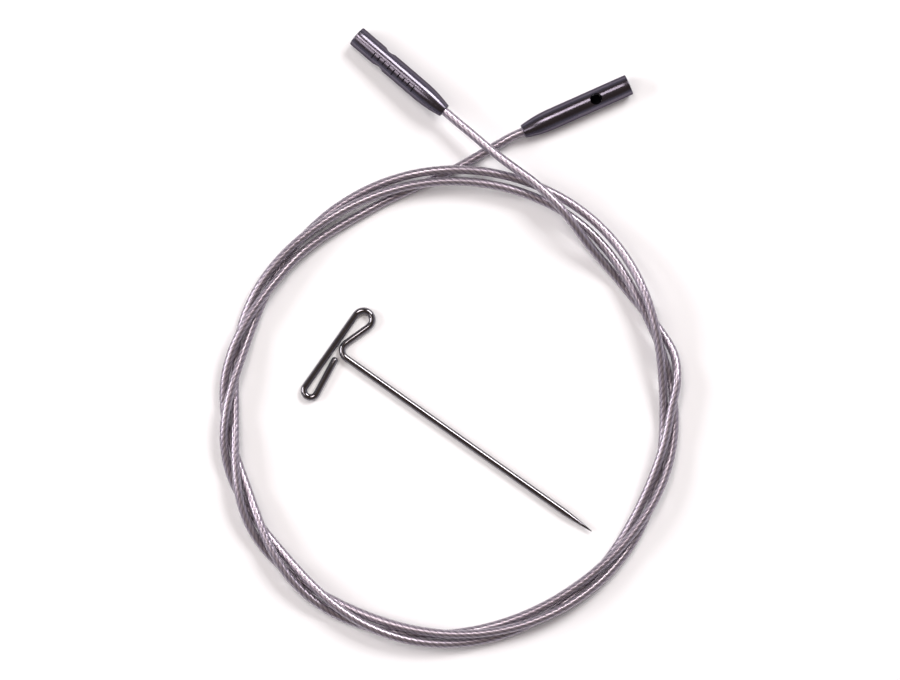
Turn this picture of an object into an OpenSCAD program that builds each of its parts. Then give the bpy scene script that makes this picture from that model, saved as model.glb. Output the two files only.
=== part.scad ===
// Swivel cable of a circular knitting needle, lying in a coil on a table, with its bent-wire tightening key.
// Millimetres. The origin is on the table under the middle of the whole: +Y points to the connectors, +Z up.

/* [Cable] */
// Cable diameter over the clear jacket
cable_d = 1.5; // [1.2:0.1:1.5]
// Diameter of the steel rope under the jacket
core_d = 1.1; // [0.8:0.1:1.1]

/* [Coil] */
// Mean radius of the coil
coil_r = 36.25; // [36.2:0.05:36.3]
// Stretch that makes the coil longer than it is wide
coil_oval = 0.6; // [0.55:0.05:0.65]
// Radius at which the passes of the coil wind round one another
rope_r = 1.05; // [1.04:0.01:1.06]

/* [Connectors] */
// Length of a connector from its tapered end to its mouth
connector_len = 18.8; // [18.4:0.1:19.6]
// Outer diameter of a connector
connector_d = 3.4; // [3.2:0.1:3.8]
// Diameter of the tapered end that holds the cable
neck_d = 2.2; // [2.2:0.1:2.6]
// Length of the taper
taper_len = 5.2; // [4.6:0.1:6]
// Minor diameter of the thread that takes a needle tip
thread_d = 2.05; // [1.9:0.05:2.2]
// Depth of the threaded socket
thread_depth = 4.6; // [4:0.1:4.6]
// Diameter of the cross hole for the key
key_hole_d = 1.8; // [1.4:0.1:1.8]
// Distance of the cross hole from the mouth
key_hole_at = 5.9; // [5.8:0.1:6.2]

/* [Swivel] */
// Diameter of the swivel head on the cable's end
ferrule_d = 2.36; // [2.2:0.02:2.4]
// Length of the swivel head
ferrule_len = 5.8; // [4:0.1:5.8]
// Thickness of the washer that the head turns on
washer_t = 0.3; // [0.2:0.05:0.3]
// Running clearance on radius of everything that turns
clearance = 0.06; // [0.04:0.01:0.08]

/* [Key] */
// Wire diameter of the key
wire_d = 1.1; // [0.9:0.1:1.2]
// Straight length of the key's shank
shank_len = 43.6; // [30:0.1:44.5]
// Length of the shank's point
point_len = 5.2; // [3:0.1:6]
// Length of the bar across the key's head
bar_len = 14.35; // [13.5:0.05:15]

/* [Hidden] */
$fn = 48;

// The tube's sides, and its cut where the coil rests on the table
sides = 6;
foot_cut = cable_d / 10;
jacket_gap = 0.03;

// Coil: angles run clockwise from +Y, from where the left tail joins to where the right tail leaves
coil_at = [-0.25, -11.9];
coil_from = 90;
coil_to = 1027.5;
coil_step = 7.5;
oval_at = 18;
// The coil stands out a little on the side where the tails cross it
bulge = 0.95;
bulge_at = 14;
bulge_reach = 42;
// Ten windings of the passes round one another in three turns, at an uneven pace
winding_rate = 10 / 3;
winding_start = -174;
winding_sway = 78;
sway_at = 224;
winding_wave = 47;
wave_at = 84;
// Places where a tail pushes a pass aside: angle, reach, outwards, upwards
pushes = [
    [350, 32, 0.5, 0], [360, 20, 0, 0.95], [400, 22, 0.4, 0],
    [425, 19, 0.1, 1.4], [758, 18, 0.5, 0.1], [784, 15, -0.2, 1.7],
];

// Free stretches between the coil and the connectors
left_run = [
    [3.5, 32.9, 3.5], [6.2, 30.6, 3.8], [9, 28.4, 4.15], [11.2, 26.8, 4.4], [13.5, 25.1, 4.6], [15.8, 23, 4.75],
    [18, 20.7, 4.7], [20.1, 18.1, 4.2], [22.2, 15.3, 3.2], [24.6, 12.5, 2], [27.1, 9.6, 1.1], [29.4, 6.8, 0.8],
    [31.8, 3.9, 0.75], [34.2, 0.9, 0.75], [36.3, -2.8, 1.35], [36.7, -7, 2.5],
];
right_run = [
    [-24.8, 13.1, 2.05], [-21.3, 15.9, 1.55], [-17.7, 18.2, 1.15], [-14, 20.3, 0.85], [-10.7, 22.1, 0.75],
    [-7.9, 23.4, 0.75], [-5.2, 24.6, 0.75], [-2.5, 25.8, 0.75], [0.2, 27.1, 0.75], [2.6, 28.4, 0.9],
    [4.8, 29.7, 1.2], [6.6, 30.7, 1.45], [8.2, 31.6, 1.6],
];
exit_run = 2.2;

// Connectors: the left one leans on the lip of its mouth, the right one lies flat
connector_r = connector_d / 2;
left_yaw = 139.3;
left_pitch = 4.2;
left_roll = 90;
right_yaw = 24;
right_pitch = 0;
right_roll = 0;
left_rear = [-1, 36.7, connector_len * sin(left_pitch) + connector_r * cos(left_pitch)];
right_rear = [11.8, 33.4, connector_r];

// Inside of a connector, measured from its tapered end
edge = 0.12;
lead = 0.2;
taper_steps = 12;
taper_drop = (connector_d - neck_d) / 2;
taper_r = (taper_len * taper_len + taper_drop * taper_drop) / (2 * taper_drop);
neck_bore_r = cable_d / 2 + clearance;
shoulder = 4.2;
chamber_r = ferrule_d / 2 + clearance;
washer_at = shoulder + 0.05;
ferrule_at = washer_at + washer_t + 0.05;
web_at = ferrule_at + ferrule_len + 0.2;
jacket_in = shoulder - 0.1;
core_in = ferrule_at + ferrule_len - 0.1;

// Key: its place, and its wire as a bending list of straight length, bend radius and turn
key_at = [-19.35, -1.9];
key_yaw = -35.2;
free_end = [1.4, -0.65];
free_heading = -83;
key_bends = [[6.7, 1.1, -187], [bar_len, 1.45, -199], [4.5, 1.5, 109], [shank_len, 0, 0]];
tip_d = 0.15;
// A bend is a hair thicker than the straight wire, which runs a little way into it
bend_swell = 0.04;
bend_lap = 0.1;

function unit(v) = v / norm(v);
function heading(yaw, pitch) = [cos(yaw) * cos(pitch), sin(yaw) * cos(pitch), -sin(pitch)];
function sum(list, i = 0) = i < len(list) ? list[i] + sum(list, i + 1) : 0;

function hump(t, reach) = exp(-pow(t / reach, 2));
function from_bulge(t) = (t - bulge_at + 180) % 360 - 180;
function mean_r(t) = coil_r + coil_oval * cos(2 * (t - oval_at)) + bulge * hump(from_bulge(t), bulge_reach);
function sways(t) = winding_sway * sin(t - sway_at) + winding_wave * sin(2 * (t - wave_at));
function winding(t) = winding_start + winding_rate * t + sways(t);
function push(t, way) = sum([for (p = pushes) p[way] * hump(t - p[0], p[1])]);
function coil_point(t) =
    let (r = mean_r(t) + rope_r * cos(winding(t)) + push(t, 2))
    let (z = cable_d / 2 - foot_cut + rope_r * (1 + sin(winding(t))) + push(t, 3))
    [coil_at.x + r * sin(t), coil_at.y + r * cos(t), z];

left_axis = heading(left_yaw, left_pitch);
right_axis = heading(right_yaw, right_pitch);
left_end = [left_rear + jacket_in * left_axis, left_rear, left_rear - exit_run * left_axis];
right_end = [right_rear - exit_run * right_axis, right_rear, right_rear + jacket_in * right_axis];
left_part = concat(left_end, left_run);
coil_part = [for (t = [coil_from : coil_step : coil_to]) coil_point(t)];
right_part = concat(right_run, right_end);
route = concat(left_part, coil_part, right_part);
core_route = concat([left_rear + core_in * left_axis], route, [right_rear + core_in * right_axis]);
coil_first = len(left_part);
coil_last = coil_first + len(coil_part) - 1;

function tangent(path, i) = unit(path[min(i + 1, len(path) - 1)] - path[max(i - 1, 0)]);
function ring(path, i, r) =
    let (side = unit(cross(tangent(path, i), [0, 0, 1])))
    let (up = cross(side, tangent(path, i)))
    [for (k = [0 : sides - 1])
        let (a = k * 360 / sides)
        let (p = path[i] + r * cos(a) * side + r * sin(a) * up)
        [p.x, p.y, max(p.z, 0)]];
function rings(path, first, last, r) = [for (i = [first : last]) each ring(path, i, r)];
function wall_faces(steps, base, outward) = [
    for (i = [0 : steps - 1], k = [0 : sides - 1])
        let (a = base + i * sides + k)
        let (b = base + i * sides + (k + 1) % sides)
        each outward
            ? [[a, a + sides, b], [b, a + sides, b + sides]]
            : [[a, b, a + sides], [b, b + sides, a + sides]]
];
function ring_faces(outer, inner, front) = [
    for (k = [0 : sides - 1])
        let (n = (k + 1) % sides)
        each front
            ? [[outer + k, outer + n, inner + k], [outer + n, inner + n, inner + k]]
            : [[outer + k, inner + k, outer + n], [outer + n, inner + k, inner + n]]
];
function disc_faces(base, front) = [
    for (k = [1 : sides - 2]) front ? [base, base + k, base + k + 1] : [base, base + k + 1, base + k]
];

// Least gap of the cable to itself, on points a quarter of a step apart and not next to one another
function fine(path) = [
    for (i = [0 : len(path) - 2], q = [0 : 3]) path[i] + (path[i + 1] - path[i]) * q / 4
];
function least_gap(points, apart) = min([
    for (i = [0 : len(points) - apart - 1], j = [i + apart : len(points) - 1]) norm(points[i] - points[j])
]) - cable_d;

module jacket(first, last) {
    steps = last - first;
    inner_base = (steps + 1) * sides;
    outer = rings(route, first, last, cable_d / 2);
    inner = rings(route, first, last, core_d / 2 + jacket_gap);
    faces = concat(
        wall_faces(steps, 0, true),
        wall_faces(steps, inner_base, false),
        ring_faces(0, inner_base, true),
        ring_faces(steps * sides, inner_base + steps * sides, false)
    );
    polyhedron(concat(outer, inner), faces);
}

module cable_coil() {
    color("silver") jacket(coil_first, coil_last);
}

module cable_tail_left() {
    color("silver") jacket(0, coil_first);
}

module cable_tail_right() {
    color("silver") jacket(coil_last, len(route) - 1);
}

module cable_core() {
    steps = len(core_route) - 1;
    faces = concat(wall_faces(steps, 0, true), disc_faces(0, true), disc_faces(steps * sides, false));
    color("dimgray") polyhedron(rings(core_route, 0, steps, core_d / 2), faces);
}

module place_left() {
    translate(left_rear) rotate([0, 90 + left_pitch, left_yaw]) rotate(left_roll) children();
}

module place_right() {
    translate(right_rear) rotate([0, 90 + right_pitch, right_yaw]) rotate(right_roll) children();
}

function taper(z) = connector_r - taper_r + sqrt(taper_r * taper_r - pow(taper_len - z, 2));

module connector() {
    outside = concat(
        [[taper(0) - edge, 0]],
        [for (i = [0 : taper_steps]) let (z = edge + (taper_len - edge) * i / taper_steps) [taper(z), z]],
        [[connector_r, connector_len - edge], [connector_r - edge, connector_len]]
    );
    socket = [
        [thread_d / 2 + lead, connector_len],
        [thread_d / 2, connector_len - lead],
        [thread_d / 2, connector_len - thread_depth],
        [0, connector_len - thread_depth],
    ];
    chamber = [
        [0, web_at],
        [chamber_r, web_at],
        [chamber_r, shoulder],
        [neck_bore_r, shoulder],
        [neck_bore_r, edge],
        [neck_bore_r + edge, 0],
    ];
    difference() {
        rotate_extrude() polygon(concat(outside, socket, chamber));
        translate([0, 0, connector_len - key_hole_at])
            rotate([0, 90, 0]) cylinder(d = key_hole_d, h = 2 * connector_d, center = true);
    }
}

module connector_left() {
    color("slategray") place_left() connector();
}

module connector_right() {
    color("slategray") place_right() connector();
}

module ferrule() {
    difference() {
        translate([0, 0, ferrule_at]) cylinder(d = ferrule_d, h = ferrule_len);
        translate([0, 0, ferrule_at - 1]) cylinder(d = core_d + 0.02, h = ferrule_len + 2);
    }
}

module ferrule_left() {
    color("lightgray") place_left() ferrule();
}

module ferrule_right() {
    color("lightgray") place_right() ferrule();
}

module thrust_washer() {
    difference() {
        translate([0, 0, washer_at]) cylinder(r = chamber_r - clearance / 2, h = washer_t);
        translate([0, 0, washer_at - 1]) cylinder(r = core_d / 2 + clearance, h = washer_t + 2);
    }
}

module thrust_washer_left() {
    color("goldenrod") place_left() thrust_washer();
}

module thrust_washer_right() {
    color("goldenrod") place_right() thrust_washer();
}

module bend(r, turn) {
    mirror([0, turn < 0 ? 1 : 0, 0])
        translate([0, r, 0]) rotate(-90)
            rotate_extrude(angle = abs(turn)) translate([r, 0]) circle(d = wire_d + bend_swell);
}

module straight(from, to) {
    translate([from, 0, 0]) rotate([0, 90, 0]) cylinder(d = wire_d, h = to - from);
}

module shank(run) {
    outline = [
        [0, -bend_lap],
        [wire_d / 2, -bend_lap],
        [wire_d / 2, run],
        [tip_d / 2, run + point_len],
        [0, run + point_len],
    ];
    rotate([0, 90, 0]) rotate_extrude() polygon(outline);
}

module wire(steps, i = 0) {
    run = steps[i][0];
    r = steps[i][1];
    turn = steps[i][2];
    centre = [run, turn < 0 ? -r : r, 0];
    if (i + 1 < len(steps)) {
        straight(i > 0 ? -bend_lap : 0, run + bend_lap);
        translate([run, 0, 0]) bend(r, turn);
        translate(centre) rotate(turn) translate([0, -centre.y, 0]) wire(steps, i + 1);
    } else {
        shank(run);
    }
}

module tightening_key() {
    color("gray")
        translate([key_at.x, key_at.y, (wire_d + bend_swell) / 2])
            rotate(key_yaw) translate(free_end) rotate(free_heading) wire(key_bends);
}

union() {
    echo(cable_length = sum([for (i = [2 : len(route) - 2]) norm(route[i] - route[i - 1])]));
    echo(least_gap = least_gap(fine(route), 16));
}

cable_coil();
cable_tail_left();
cable_tail_right();
cable_core();
connector_left();
connector_right();
ferrule_left();
ferrule_right();
thrust_washer_left();
thrust_washer_right();
tightening_key();
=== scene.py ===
"""Looks of a coiled swivel cable for circular knitting, with its bent-wire tightening key. Metres, +Z up."""
import math

import bmesh
import bpy
import numpy as np
from mathutils import Matrix, Vector


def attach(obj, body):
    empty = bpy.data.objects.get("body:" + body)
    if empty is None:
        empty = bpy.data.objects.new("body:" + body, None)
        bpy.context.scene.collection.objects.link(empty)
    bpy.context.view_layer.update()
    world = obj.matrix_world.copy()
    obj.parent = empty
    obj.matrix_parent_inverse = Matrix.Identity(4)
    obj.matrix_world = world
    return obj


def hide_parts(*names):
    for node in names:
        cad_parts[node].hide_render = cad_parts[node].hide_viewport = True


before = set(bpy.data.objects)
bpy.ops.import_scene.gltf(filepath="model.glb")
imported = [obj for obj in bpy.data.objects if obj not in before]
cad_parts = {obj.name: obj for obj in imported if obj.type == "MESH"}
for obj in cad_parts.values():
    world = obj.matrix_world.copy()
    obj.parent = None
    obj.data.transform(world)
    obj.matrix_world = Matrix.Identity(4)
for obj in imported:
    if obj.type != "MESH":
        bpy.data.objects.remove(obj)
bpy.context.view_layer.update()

MM = 0.001

# Cable: a steel rope with six strands on its outside, under clear nylon that magnifies it nearly to its own width
CABLE_R = 0.00075
LAY = 0.0068
STRANDS = 6
ROPE_OUT = 0.00055
SEEN_OUT = 0.0007
PATH_STEP = LAY / 14
CABLE_SIDES = 24

# Coil, with angles clockwise from +Y
COIL_AT = (-0.00025, -0.0119)
COIL_R = 0.03625
COIL_OVAL, OVAL_AT = 0.0006, 18
COIL_FROM, COIL_TO, COIL_STEP = 90, 1027.5, 7.5
FOOT_CUT = 0.00015
# It stands out a little on the side where the tails cross it
BULGE, BULGE_AT, BULGE_REACH = 0.00095, 14, 42
# Ten windings of the passes round one another in three turns, at an uneven pace
ROPE_R = 0.00105
WINDING_RATE, WINDING_START = 10 / 3, -174
WINDING_SWAY, SWAY_AT = 78, 224
WINDING_WAVE, WAVE_AT = 47, 84
# Places where a tail pushes a pass aside: angle, reach, outwards, upwards
PUSHES = [
    (350, 32, 0.0005, 0), (360, 20, 0, 0.00095), (400, 22, 0.0004, 0),
    (425, 19, 0.0001, 0.0014), (758, 18, 0.0005, 0.0001), (784, 15, -0.0002, 0.0017),
]

# Free stretches between the coil and the connectors
LEFT_RUN = [
    (0.0035, 0.0329, 0.0035), (0.0062, 0.0306, 0.0038), (0.009, 0.0284, 0.00415), (0.0112, 0.0268, 0.0044),
    (0.0135, 0.0251, 0.0046), (0.0158, 0.023, 0.00475), (0.018, 0.0207, 0.0047), (0.0201, 0.0181, 0.0042),
    (0.0222, 0.0153, 0.0032), (0.0246, 0.0125, 0.002), (0.0271, 0.0096, 0.0011), (0.0294, 0.0068, 0.0008),
    (0.0318, 0.0039, 0.00075), (0.0342, 0.0009, 0.00075), (0.0363, -0.0028, 0.00135), (0.0367, -0.007, 0.0025),
]
RIGHT_RUN = [
    (-0.0248, 0.0131, 0.00205), (-0.0213, 0.0159, 0.00155), (-0.0177, 0.0182, 0.00115), (-0.014, 0.0203, 0.00085),
    (-0.0107, 0.0221, 0.00075), (-0.0079, 0.0234, 0.00075), (-0.0052, 0.0246, 0.00075), (-0.0025, 0.0258, 0.00075),
    (0.0002, 0.0271, 0.00075), (0.0026, 0.0284, 0.0009), (0.0048, 0.0297, 0.0012), (0.0066, 0.0307, 0.00145),
    (0.0082, 0.0316, 0.0016),
]
EXIT_RUN = 0.0022
JACKET_IN = 0.0041
CORE_IN = 0.0103

# Connectors, measured from the tapered end
CONNECTOR_LEN = 0.0188
CONNECTOR_R = 0.0017
NECK_R = 0.0011
TAPER_LEN = 0.0052
EDGE_R = 0.00012
NECK_BORE_R = 0.00081
SHOULDER = 0.0042
CHAMBER_R = 0.00124
WEB_AT = 0.0106
THREAD_R = 0.001025
THREAD_DEPTH = 0.0046
THREAD_PITCH = 0.00045
THREAD_CUT = 0.0002
MOUTH_LEAD = 0.0002
HOLE_R = 0.0009
HOLE_AT = CONNECTOR_LEN - 0.0059
LATHE_SIDES = 96
LEFT = {"yaw": 139.3, "pitch": 4.2, "roll": 90, "xy": (-0.001, 0.0367)}
RIGHT = {"yaw": 24, "pitch": 0, "roll": 0, "xy": (0.0118, 0.0334)}

# Key: place, and its wire as a bending list of straight length, bend radius and turn
WIRE_R = 0.00055
KEY_AT = (-0.01935, -0.0019, 0.00057)
KEY_YAW = -35.2
FREE_END = (0.0014, -0.00065)
FREE_HEADING = -83
KEY_BENDS = [(0.0067, 0.0011, -187), (0.01435, 0.00145, -199), (0.0045, 0.0015, 109), (0.0436, 0, 0)]
POINT_LEN = 0.0052
END_ROUND = 0.0005
TIP_R = 0.00007
WIRE_SIDES = 32

# Picture: its middle and width where the camera, straight above with a long lens, is focused
PICTURE_AT = (-0.00008, -0.00041, 0.0015)
PICTURE_WIDTH = 0.14607
LENS, SENSOR_WIDTH = 200, 36

# The floor lies just under the table's level, and the painted shadow under the right cross hole between the two
FLOOR_HALF, FLOOR_Z = 3.0, -0.00001
SHADOW_SIDES, SHADOW_Z = 48, -0.000004
LAMP_DISTANCE = 1.2


# Scene helpers

def add_object(name, data):
    made = bpy.data.objects.new(name, data)
    bpy.context.scene.collection.objects.link(made)
    return made


def make_camera():
    data = bpy.data.cameras.new("camera")
    data.lens = LENS
    data.sensor_width = SENSOR_WIDTH
    camera = add_object("camera", data)
    x, y, focus_height = PICTURE_AT
    camera.location = (x, y, focus_height + PICTURE_WIDTH * data.lens / data.sensor_width)
    bpy.context.scene.camera = camera


# Mesh helpers

def round_turn(sides):
    return np.arange(sides) * 2 * math.pi / sides


def mesh_object(name, tubes, capped=True):
    """One object from arrays of rings, each of rows by columns by 3, closed round each ring."""
    verts, faces, uvs = [], [], []
    base = 0
    for rings in tubes:
        rows, cols = rings.shape[:2]
        verts.append(rings.reshape(-1, 3))
        run = np.linalg.norm(np.diff(rings.mean(axis=1), axis=0), axis=1)
        along = np.concatenate([[0], np.cumsum(run)]) / MM
        for i in range(rows - 1):
            for k in range(cols):
                a, b = i * cols + k, i * cols + (k + 1) % cols
                faces.append([base + a, base + b, base + b + cols, base + a + cols])
                lo, hi = k / cols, (k + 1) / cols
                uvs += [along[i], lo, along[i], hi, along[i + 1], hi, along[i + 1], lo]
        if capped:
            faces.append([base + k for k in reversed(range(cols))])
            faces.append([base + (rows - 1) * cols + k for k in range(cols)])
            uvs += [0.0] * (4 * cols)
        base += rows * cols
    mesh = bpy.data.meshes.new(name)
    mesh.from_pydata(np.concatenate(verts).tolist(), [], faces)
    mesh.uv_layers.new(name="along").data.foreach_set("uv", uvs)
    smooth_outwards(mesh)
    return add_object(name, mesh)


def smooth_outwards(mesh, sharp=35):
    work = bmesh.new()
    work.from_mesh(mesh)
    bmesh.ops.recalc_face_normals(work, faces=work.faces)
    work.to_mesh(mesh)
    work.free()
    mesh.polygons.foreach_set("use_smooth", [True] * len(mesh.polygons))
    mesh.set_sharp_from_angle(angle=math.radians(sharp))


def frames(path):
    """Two unit vectors square to the path at each point, turning as little as they can."""
    tangents = np.gradient(path, axis=0)
    tangents /= np.linalg.norm(tangents, axis=1)[:, None]
    normal = np.cross(tangents[0], (0, 0, 1))
    normals = []
    for t in tangents:
        normal = normal - t * (normal @ t)
        normal = normal / np.linalg.norm(normal)
        normals.append(normal)
    normals = np.array(normals)
    return normals, np.cross(tangents, normals)


def tube(path, radii, sides):
    normals, others = frames(path)
    turn = round_turn(sides)
    around = np.cos(turn)[:, None] * normals[:, None] + np.sin(turn)[:, None] * others[:, None]
    return path[:, None] + np.broadcast_to(radii, len(path))[:, None, None] * around


def smooth(points, step):
    """Points about a step apart on a smooth curve through the given ones."""
    p = np.array(points)
    s = np.concatenate([[0], np.cumsum(np.linalg.norm(np.diff(p, axis=0), axis=1))])
    slope = np.gradient(p, s, axis=0)
    t = np.linspace(0, s[-1], round(s[-1] / step) + 1)
    i = np.clip(np.searchsorted(s, t, side="right") - 1, 0, len(s) - 2)
    h = (s[i + 1] - s[i])[:, None]
    u = (t - s[i])[:, None] / h
    start = (2 * u**3 - 3 * u**2 + 1) * p[i] + (u**3 - 2 * u**2 + u) * h * slope[i]
    end = (3 * u**2 - 2 * u**3) * p[i + 1] + (u**3 - u**2) * h * slope[i + 1]
    return start + end


def lathe(rows):
    """Rings about the Z axis from rows of radius and height, where a radius may differ round the ring."""
    turn = round_turn(LATHE_SIDES)
    circle = np.stack([np.cos(turn), np.sin(turn)], axis=-1)
    rings = []
    for radius, z in rows:
        xy = np.broadcast_to(radius, LATHE_SIDES)[:, None] * circle
        rings.append(np.column_stack([xy, np.full(LATHE_SIDES, z)]))
    return np.array(rings)


def cut(piece, cutter):
    change = piece.modifiers.new("hole", "BOOLEAN")
    change.operation = "DIFFERENCE"
    change.solver = "EXACT"
    change.object = cutter
    graph = bpy.context.evaluated_depsgraph_get()
    mesh = bpy.data.meshes.new_from_object(piece.evaluated_get(graph))
    piece.modifiers.clear()
    piece.data = mesh
    bpy.data.objects.remove(cutter)
    smooth_outwards(mesh)


# Materials

def material(name, color, roughness, metallic=0.0):
    made = bpy.data.materials.new(name)
    made.use_nodes = True
    shader = made.node_tree.nodes["Principled BSDF"]
    shader.inputs["Base Color"].default_value = (*color, 1)
    shader.inputs["Roughness"].default_value = roughness
    shader.inputs["Metallic"].default_value = metallic
    return made, shader


def add_node(tree, kind, **inputs):
    made = tree.nodes.new(kind)
    for name, value in inputs.items():
        made.inputs[name.replace("_", " ")].default_value = value
    return made


def math_node(tree, kind, operation):
    made = tree.nodes.new(kind)
    made.operation = operation
    return made


def noise(tree, scale, detail=3.0, stretch=(1, 1, 1), uv=False):
    """A noise value, over the object in metres or along its UVs in millimetres and turns."""
    place = tree.nodes.new("ShaderNodeTexCoord")
    mapping = add_node(tree, "ShaderNodeMapping", Scale=stretch)
    texture = add_node(tree, "ShaderNodeTexNoise", Scale=scale, Detail=detail)
    tree.links.new(place.outputs["UV" if uv else "Object"], mapping.inputs["Vector"])
    tree.links.new(mapping.outputs["Vector"], texture.inputs["Vector"])
    return texture.outputs["Fac"]


def vary_color(tree, shader, value, low, high):
    ramp = tree.nodes.new("ShaderNodeValToRGB")
    ramp.color_ramp.elements[0].position = 0.3
    ramp.color_ramp.elements[0].color = (*low, 1)
    ramp.color_ramp.elements[1].position = 0.7
    ramp.color_ramp.elements[1].color = (*high, 1)
    tree.links.new(value, ramp.inputs["Fac"])
    tree.links.new(ramp.outputs["Color"], shader.inputs["Base Color"])


def paint_edge_shade(tree, shader, color):
    """Fades the base colour to a darker one where the surface turns away from the eye: painted shade on the edges,
    partly standing for the longer path through the nylon there.
    """
    facing = add_node(tree, "ShaderNodeLayerWeight", Blend=0.45)
    mixed = tree.nodes.new("ShaderNodeMixRGB")
    mixed.inputs["Color2"].default_value = (*color, 1)
    tree.links.new(facing.outputs["Facing"], mixed.inputs["Fac"])
    tree.links.new(shader.inputs["Base Color"].links[0].from_socket, mixed.inputs["Color1"])
    tree.links.new(mixed.outputs["Color"], shader.inputs["Base Color"])


def vary_roughness(tree, shader, value, low, high):
    spread = add_node(tree, "ShaderNodeMapRange", From_Min=0.3, From_Max=0.7, To_Min=low, To_Max=high)
    tree.links.new(value, spread.inputs["Value"])
    tree.links.new(spread.outputs["Result"], shader.inputs["Roughness"])


def add_bump(tree, shader, value, height, strength):
    bump = add_node(tree, "ShaderNodeBump", Distance=height, Strength=strength)
    tree.links.new(value, bump.inputs["Height"])
    tree.links.new(bump.outputs["Normal"], shader.inputs["Normal"])


def clear_nylon():
    made, shader = material("clear_nylon", (0.8, 0.74, 0.8), 0.08)
    shader.inputs["Alpha"].default_value = 0.08
    tree = made.node_tree
    vary_roughness(tree, shader, noise(tree, 700), 0.05, 0.12)
    return made


def strand_lines(tree):
    """From 0 between two strands to 1 on a strand, for strands that wind round the rope once in a lay."""
    place = tree.nodes.new("ShaderNodeTexCoord")
    phase = math_node(tree, "ShaderNodeVectorMath", "DOT_PRODUCT")
    phase.inputs[1].default_value = (-2 * math.pi * STRANDS * MM / LAY, 2 * math.pi * STRANDS, 0)
    wave = math_node(tree, "ShaderNodeMath", "SINE")
    spread = add_node(tree, "ShaderNodeMapRange", From_Min=-1.0, From_Max=0.5)
    tree.links.new(place.outputs["UV"], phase.inputs[0])
    tree.links.new(phase.outputs["Value"], wave.inputs[0])
    tree.links.new(wave.outputs["Value"], spread.inputs["Value"])
    return spread.outputs["Result"]


def stranded_steel():
    """Steel strands under the smooth gloss of the nylon, which is the coat here, with painted shade in the grooves
    between strands and towards the edges.
    """
    made, shader = material("stranded_steel", (0.42, 0.37, 0.42), 0.3, 1)
    shader.inputs["Coat Weight"].default_value = 1
    shader.inputs["Coat Roughness"].default_value = 0.08
    tree = made.node_tree
    lines = strand_lines(tree)
    # Painted shade: the grooves between strands are coloured darker than the strands, besides their bump.
    vary_color(tree, shader, lines, (0.23, 0.19, 0.24), (0.42, 0.365, 0.415))
    # Painted shade on the rope's edges, partly for the longer path through the nylon.
    paint_edge_shade(tree, shader, (0.04, 0.028, 0.055))
    vary_roughness(tree, shader, noise(tree, 1500), 0.28, 0.34)
    add_bump(tree, shader, lines, 0.00006, 0.35)
    return made


def dark_polished_steel():
    made, shader = material("dark_polished_steel", (0.125, 0.113, 0.14), 0.22, 1)
    shader.inputs["Specular Tint"].default_value = (0.32, 0.31, 0.34, 1)
    tree = made.node_tree
    vary_color(tree, shader, noise(tree, 260), (0.117, 0.106, 0.133), (0.133, 0.12, 0.147))
    vary_roughness(tree, shader, noise(tree, 1200), 0.2, 0.25)
    add_bump(tree, shader, noise(tree, 14, 2, (1, 0.02, 1), uv=True), 0.00001, 0.015)
    return made


def bright_nickel():
    made, shader = material("bright_nickel", (0.2, 0.19, 0.2), 0.08, 1)
    tree = made.node_tree
    vary_color(tree, shader, noise(tree, 300), (0.18, 0.17, 0.185), (0.22, 0.21, 0.22))
    vary_roughness(tree, shader, noise(tree, 900), 0.06, 0.11)
    add_bump(tree, shader, noise(tree, 20, 2, (0.03, 1, 1), uv=True), 0.00001, 0.06)
    return made


def turned_metal(name, low, high):
    made, shader = material(name, low, 0.3, 1)
    tree = made.node_tree
    vary_color(tree, shader, noise(tree, 1500), low, high)
    vary_roughness(tree, shader, noise(tree, 4000), 0.25, 0.4)
    return made


# Dark print for the size ticks, and painted shade for the cross holes' walls and the painted shadow under the right
# hole
def print_and_painted_shade():
    made, shader = material("print_and_painted_shade", (0.01, 0.01, 0.012), 0.6)
    shader.inputs["Specular IOR Level"].default_value = 0
    tree = made.node_tree
    vary_color(tree, shader, noise(tree, 6000), (0.006, 0.006, 0.008), (0.016, 0.015, 0.018))
    return made


def dress(piece, look, slot, body, *nodes):
    piece.data.materials.clear()
    piece.data.materials.append(look)
    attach(piece, body)
    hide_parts(*nodes)


# Cable

def heading(end):
    yaw, pitch = math.radians(end["yaw"]), math.radians(end["pitch"])
    return np.array([math.cos(yaw) * math.cos(pitch), math.sin(yaw) * math.cos(pitch), -math.sin(pitch)])


def rear(end):
    """The middle of a connector's tapered end, where its mouth or its side rests on the table."""
    pitch = math.radians(end["pitch"])
    return np.array([*end["xy"], CONNECTOR_LEN * math.sin(pitch) + CONNECTOR_R * math.cos(pitch)])


def hump(t, reach):
    return math.exp(-((t / reach) ** 2))


def push(t, way):
    return sum(p[way] * hump(t - p[0], p[1]) for p in PUSHES)


def coil_point(t):
    oval = COIL_OVAL * math.cos(math.radians(2 * (t - OVAL_AT)))
    bulge = BULGE * hump((t - BULGE_AT + 180) % 360 - 180, BULGE_REACH)
    sway = WINDING_SWAY * math.sin(math.radians(t - SWAY_AT))
    wave = WINDING_WAVE * math.sin(math.radians(2 * (t - WAVE_AT)))
    winding = math.radians(WINDING_START + WINDING_RATE * t + sway + wave)
    r = COIL_R + oval + bulge + ROPE_R * math.cos(winding) + push(t, 2)
    z = CABLE_R - FOOT_CUT + ROPE_R * (1 + math.sin(winding)) + push(t, 3)
    a = math.radians(t)
    return COIL_AT[0] + r * math.sin(a), COIL_AT[1] + r * math.cos(a), z


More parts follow.
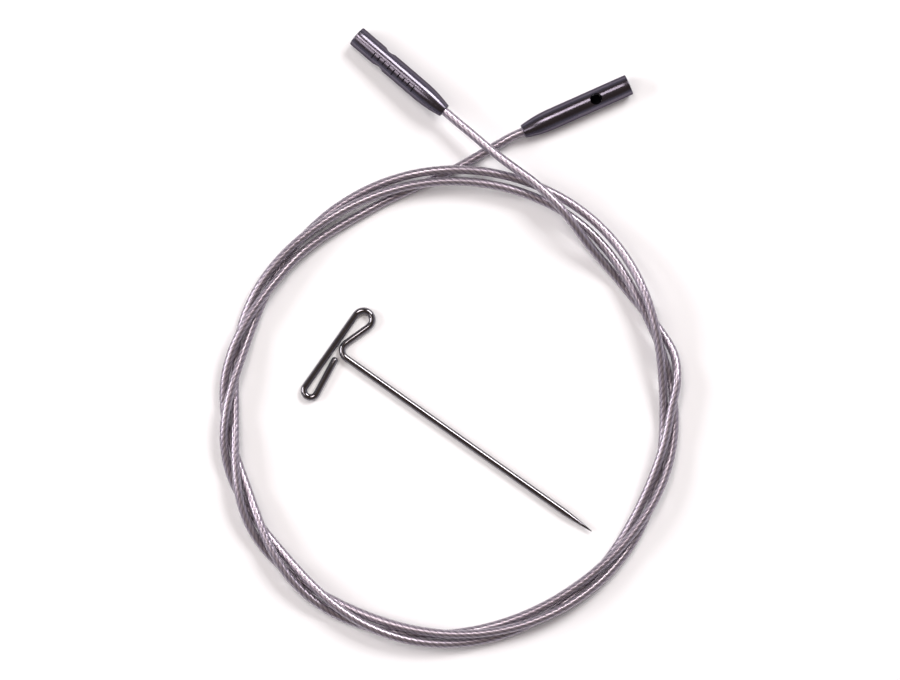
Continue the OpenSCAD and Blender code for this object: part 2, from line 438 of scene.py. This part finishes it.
def cable_path():
    """The steel rope's middle line, from inside the left connector to inside the right one."""
    left, right = heading(LEFT), heading(RIGHT)
    angles = np.arange(COIL_FROM, COIL_TO + COIL_STEP / 2, COIL_STEP)
    points = [rear(LEFT) + d * left for d in (CORE_IN, JACKET_IN, 0, -EXIT_RUN)]
    points += LEFT_RUN + [coil_point(t) for t in angles] + RIGHT_RUN
    points += [rear(RIGHT) + d * right for d in (-EXIT_RUN, 0, JACKET_IN, CORE_IN)]
    path = smooth(points, PATH_STEP)
    # A round cable rests on the table with its whole radius
    z, soft = path[:, 2], 0.00005
    path[:, 2] = (z + CABLE_R + np.sqrt((z - CABLE_R) ** 2 + soft**2)) / 2
    return path


def rope_radii(path):
    """The rope's radius along the path: its true size inside the connectors, and as magnified outside."""
    count = np.arange(len(path))
    from_end = np.minimum(count, count[::-1]) * PATH_STEP
    in_jacket = np.clip((from_end - (CORE_IN - JACKET_IN)) / JACKET_IN, 0, 1)
    return ROPE_OUT + (SEEN_OUT - ROPE_OUT) * in_jacket


def make_cable():
    path = cable_path()
    hidden = round((CORE_IN - JACKET_IN) / PATH_STEP)
    jacket_path = path[hidden:-hidden]
    jacket = mesh_object("cable_jacket", [tube(jacket_path[::2], CABLE_R, CABLE_SIDES)])
    dress(jacket, clear_nylon(), "jacket", "cable", "cable_coil", "cable_tail_left", "cable_tail_right")
    rope = mesh_object("steel_rope", [tube(path, rope_radii(path), CABLE_SIDES)])
    dress(rope, stranded_steel(), "core", "cable", "cable_core")


# Connectors

def taper(z):
    drop = CONNECTOR_R - NECK_R
    bow = (TAPER_LEN**2 + drop**2) / (2 * drop)
    return CONNECTOR_R - bow + math.sqrt(bow**2 - (TAPER_LEN - z) ** 2)


def thread_rows():
    """Rows of the threaded bore, from its bottom to its mouth."""
    turn = np.arange(LATHE_SIDES) / LATHE_SIDES
    low, high = CONNECTOR_LEN - THREAD_DEPTH, CONNECTOR_LEN - MOUTH_LEAD
    rows_a_pitch, flank, crest = 10, 1.3, 0.15
    rows = []
    for z in np.arange(low, high, THREAD_PITCH / rows_a_pitch):
        wave = 1 - 2 * np.abs(((z - low) / THREAD_PITCH - turn) % 1 - 0.5)
        fade = np.clip(min(z - low, high - z) / THREAD_PITCH, 0, 1)
        rows.append((THREAD_R + THREAD_CUT * fade * np.clip(flank * wave - crest, 0, 1), z))
    return rows


def connector_rows():
    """The outline from the bottom of the socket out of the mouth, along the outside and in at the tapered end."""
    mouth = CONNECTOR_LEN
    quarter = [math.radians(a) for a in (0, 22.5, 45, 67.5, 90)]
    rim, neck = CONNECTOR_R - EDGE_R, taper(EDGE_R) - EDGE_R
    rows = thread_rows()
    rows += [(THREAD_R, mouth - MOUTH_LEAD), (THREAD_R + MOUTH_LEAD, mouth)]
    rows += [(rim + EDGE_R * math.sin(a), mouth - EDGE_R + EDGE_R * math.cos(a)) for a in quarter]
    rows += [(CONNECTOR_R, z) for z in np.linspace(mouth - EDGE_R, TAPER_LEN, 15)[1:]]
    rows += [(taper(z), z) for z in np.linspace(TAPER_LEN, EDGE_R, 29)[1:]]
    rows += [(neck + EDGE_R * math.cos(a), EDGE_R - EDGE_R * math.sin(a)) for a in quarter[1:]]
    rows += [(NECK_BORE_R + EDGE_R / 2, 0), (NECK_BORE_R, EDGE_R / 2), (NECK_BORE_R, SHOULDER)]
    rows += [(CHAMBER_R, SHOULDER), (CHAMBER_R, WEB_AT)]
    return rows


def cross_hole():
    """A round cutter across the connector, with a small countersink where it comes out on either side."""
    flat, out, sink = 0.00142, 0.0022, 0.00026
    rows = [(HOLE_R + sink, -out), (HOLE_R, -flat), (HOLE_R, flat), (HOLE_R + sink, out)]
    cutter = mesh_object("cutter", [lathe(rows)])
    cutter.data.transform(Matrix.Translation((0, 0, HOLE_AT)) @ Matrix.Rotation(math.radians(90), 4, "Y"))
    return cutter


def placement(end):
    turn = Matrix.Rotation(math.radians(end["yaw"]), 4, "Z")
    tilt = Matrix.Rotation(math.radians(90 + end["pitch"]), 4, "Y")
    roll = Matrix.Rotation(math.radians(end["roll"]), 4, "Z")
    return Matrix.Translation(Vector(rear(end))) @ turn @ tilt @ roll


def make_connector(side, end, look, hole_wall_shade):
    piece = mesh_object("connector_shell_" + side, [lathe(connector_rows())])
    cut(piece, cross_hole())
    dress(piece, look, "connector", side + "_connector", "connector_" + side)
    # Painted shade: the cross hole's walls are made near black, so that the hole looks dark
    piece.data.materials.append(hole_wall_shade)
    for face in piece.data.polygons:
        from_axis = math.hypot(face.center.y, face.center.z - HOLE_AT)
        if from_axis < 1.01 * HOLE_R and abs(face.normal.x) < 0.5:
            face.material_index = 1
    piece.data.transform(placement(end))


def make_size_ticks(look):
    """A plain row of marks along the left connector, from its taper past its cross hole, each fourth one longer."""
    first, spacing, count = 0.0061, 0.00105, 9
    half_width, depth, proud = 0.00011, 0.00002, 0.000004
    near, long_far, short_far = 84, 42, 56
    ticks = []
    for k in range(count):
        far = short_far if k % 4 else long_far
        z = first + k * spacing
        rings = []
        for a in np.radians(np.linspace(near, far, 9)):
            out = np.array([math.cos(a), math.sin(a), 0])
            low, high = (CONNECTOR_R - depth) * out, (CONNECTOR_R + proud) * out
            bottom, top = np.array([0, 0, z - half_width]), np.array([0, 0, z + half_width])
            rings.append([low + bottom, high + bottom, high + top, low + top])
        ticks.append(np.array(rings))
    piece = mesh_object("size_ticks", ticks)
    piece.data.transform(placement(LEFT))
    dress(piece, look, "connector", "left_connector")


# Key

def key_path():
    """Points along the key's wire, from its free end to its tip, with each point's radius."""
    x, y = FREE_END
    h = math.radians(FREE_HEADING)
    ahead = np.array([math.cos(h), math.sin(h)])
    run_step, arc_step, point_steps, point_bow = 0.0015, math.radians(6), 14, 0.85
    points = []
    for run, r, turn in KEY_BENDS:
        stops = np.linspace(0, run, max(2, round(run / run_step)))
        points += [(x + d * math.cos(h), y + d * math.sin(h)) for d in stops]
        x, y = points[-1]
        side = math.copysign(1, turn)
        centre = (x - side * r * math.sin(h), y + side * r * math.cos(h))
        total = math.radians(abs(turn))
        steps = max(1, round(total / arc_step))
        for k in range(1, steps if r else 1):
            a = h + side * total * k / steps
            points.append((centre[0] + side * r * math.sin(a), centre[1] - side * r * math.cos(a)))
        h += side * total
        x, y = centre[0] + side * r * math.sin(h), centre[1] - side * r * math.cos(h)
    radii = [WIRE_R] * len(points)
    rounds = np.radians(np.linspace(90, 0, 7))
    points[:1] = [tuple(FREE_END + d * ahead) for d in END_ROUND * (1 - np.sin(rounds))]
    radii[:1] = list(WIRE_R - END_ROUND * (1 - np.cos(rounds)))
    for share in np.linspace(0, 1, point_steps + 1)[1:]:
        points.append((x + share * POINT_LEN * math.cos(h), y + share * POINT_LEN * math.sin(h)))
        radii.append(TIP_R + (WIRE_R - TIP_R) * (1 - share) ** point_bow)
    flat = np.array(points)
    return np.column_stack([flat, np.zeros(len(flat))]), np.array(radii)


def make_key():
    path, radii = key_path()
    key = mesh_object("wire_key", [tube(path, radii, WIRE_SIDES)])
    key.data.transform(Matrix.Translation(KEY_AT) @ Matrix.Rotation(math.radians(KEY_YAW), 4, "Z"))
    dress(key, bright_nickel(), "key", "key", "tightening_key")


# Inner pieces, which keep their solids

def finish_inner_pieces():
    steel = turned_metal("turned_steel", (0.5, 0.5, 0.52), (0.62, 0.62, 0.64))
    brass = turned_metal("turned_brass", (0.6, 0.45, 0.2), (0.75, 0.6, 0.32))
    for name, look in (("ferrule", steel), ("thrust_washer", brass)):
        for side in ("left", "right"):
            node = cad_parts[name + "_" + side]
            node.data.materials.clear()
            node.data.materials.append(look)


# Stage

def lay_flat(name, corners, look):
    """One flat face of the stage."""
    mesh = bpy.data.meshes.new(name)
    mesh.from_pydata(corners, [], [list(range(len(corners)))])
    mesh.materials.append(look)
    add_object(name, mesh)


def make_floor():
    look, shader = material("white_floor", (0.93, 0.93, 0.93), 0.9)
    shader.inputs["Specular IOR Level"].default_value = 0
    signs = ((-1, -1), (1, -1), (1, 1), (-1, 1))
    lay_flat("floor", [(x * FLOOR_HALF, y * FLOOR_HALF, FLOOR_Z) for x, y in signs], look)


def make_hole_shadow(look):
    """A painted shadow: a dark disc on the table under the right cross hole, so that the hole looks black."""
    x, y, _ = rear(RIGHT) + HOLE_AT * heading(RIGHT)
    turn = round_turn(SHADOW_SIDES)
    rim = np.column_stack([x + HOLE_R * np.cos(turn), y + HOLE_R * np.sin(turn), np.full(SHADOW_SIDES, SHADOW_Z)])
    lay_flat("painted_shadow_disc", rim.tolist(), look)


def softbox(name, azimuth, from_zenith, size, radiance, color):
    data = bpy.data.lights.new(name, "AREA")
    data.shape = "RECTANGLE"
    data.size, data.size_y = size
    data.energy = 4 * radiance * size[0] * size[1]
    data.color = color
    lamp = add_object(name, data)
    a, e = math.radians(azimuth), math.radians(from_zenith)
    towards = Vector((math.cos(a) * math.sin(e), math.sin(a) * math.sin(e), math.cos(e)))
    lamp.location = towards * LAMP_DISTANCE
    lamp.rotation_euler = towards.to_track_quat("Z", "Y").to_euler()
    lamp.visible_camera = False


def make_world():
    """A dim ceiling over a horizon that is pale to the left and right and dimmer above and below in the picture."""
    world = bpy.data.worlds.new("studio")
    world.use_nodes = True
    tree = world.node_tree
    place = tree.nodes.new("ShaderNodeTexCoord")
    split = tree.nodes.new("ShaderNodeSeparateXYZ")
    aside = math_node(tree, "ShaderNodeMath", "ABSOLUTE")
    dim = math_node(tree, "ShaderNodeMath", "MULTIPLY_ADD")
    dim.inputs[1].default_value = 0.35
    ramp = tree.nodes.new("ShaderNodeValToRGB")
    stops = ramp.color_ramp.elements
    stops[0].position, stops[0].color = 0.1, (0.75, 0.75, 0.9, 1)
    stops[1].position, stops[1].color = 0.85, (0.17, 0.135, 0.115, 1)
    middle = stops.new(0.5)
    middle.color = (0.5, 0.5, 0.58, 1)
    tree.links.new(place.outputs["Generated"], split.inputs["Vector"])
    tree.links.new(split.outputs["Y"], aside.inputs[0])
    tree.links.new(aside.outputs["Value"], dim.inputs[0])
    tree.links.new(split.outputs["Z"], dim.inputs[2])
    tree.links.new(dim.outputs["Value"], ramp.inputs["Fac"])
    tree.links.new(ramp.outputs["Color"], tree.nodes["Background"].inputs["Color"])
    bpy.context.scene.world = world


def make_stage():
    make_floor()
    make_world()
    softbox("key_light", 52, 47, (0.5, 0.4), 12, (1, 0.98, 0.99))
    softbox("top_light", 116, 24, (0.24, 0.46), 8, (1, 0.94, 0.93))
    softbox("fill_light", 194, 24, (0.36, 0.4), 2.8, (1, 0.94, 0.93))
    softbox("side_light", 175, 60, (0.62, 0.35), 7.6, (1, 0.98, 1))
    bpy.context.scene.view_settings.view_transform = "Standard"


make_camera()
make_cable()
# One dark material serves as print on the ticks and as painted shade in and under the cross holes
polished, print_and_shade = dark_polished_steel(), print_and_painted_shade()
make_connector("left", LEFT, polished, print_and_shade)
make_connector("right", RIGHT, polished, print_and_shade)
make_size_ticks(print_and_shade)
make_key()
finish_inner_pieces()
make_stage()
# A painted shadow under the right cross hole
make_hole_shadow(print_and_shade)
